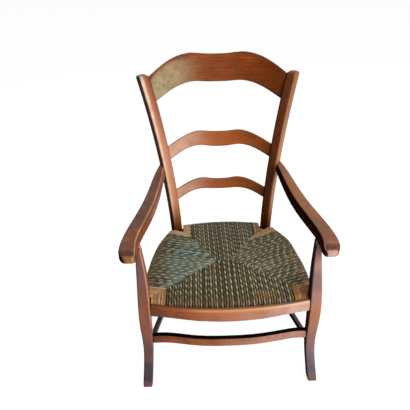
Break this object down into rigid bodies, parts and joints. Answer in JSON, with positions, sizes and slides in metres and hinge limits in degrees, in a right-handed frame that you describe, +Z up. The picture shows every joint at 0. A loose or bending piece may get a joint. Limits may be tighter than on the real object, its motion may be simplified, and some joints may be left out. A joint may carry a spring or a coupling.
{
  "type": "rush seat armchair",
  "caption": "Low provincial wooden armchair with swept posts, wavy bowed back slats, curved arms, S-shaped front legs, bowed apron and a woven rush seat with straw corners.",
  "frame": {"origin": "on the floor, under the middle of the chair's box", "axes": "+Z up, the chair faces -Y, +X to the right of a viewer who looks at its front"},
  "size_m": [0.621, 0.697, 0.8632],
  "materials": {
    "wood_frame": "waxed reddish-brown stain, worn at the edges",
    "wood_slats": "waxed reddish-brown stain with long grain",
    "wood_arms": "stain worn to bare grey-brown wood on top",
    "wood_legs": "stain worn to grey wood at the feet",
    "wood_front": "waxed reddish-brown stain, light on its upper edge",
    "wood_under": "dull dark brown",
    "rush": "twisted dyed rush cord",
    "straw": "wrapped natural straw",
    "filling": "loose straw"
  },
  "bodies": {
    "root": {"back_post_left": "wood_frame", "back_post_right": "wood_frame", "crest_rail": "wood_slats", "middle_slat": "wood_slats", "lower_slat": "wood_slats", "arm_left": "wood_arms", "arm_right": "wood_arms", "front_leg_left": "wood_legs", "front_leg_right": "wood_legs", "front_apron": "wood_front", "front_stretcher": "wood_front", "side_stretcher_left": "wood_under", "side_stretcher_right": "wood_under", "back_stretcher": "wood_under", "seat_rail_front": "wood_under", "seat_rail_back": "wood_under", "seat_rail_left": "wood_under", "seat_rail_right": "wood_under", "rush_seat": "rush", "straw_corner_front_left": "straw", "straw_corner_front_right": "straw", "straw_corner_back_left": "straw", "straw_corner_back_right": "straw", "seat_filling": "filling"}
  },
  "joints": []
}
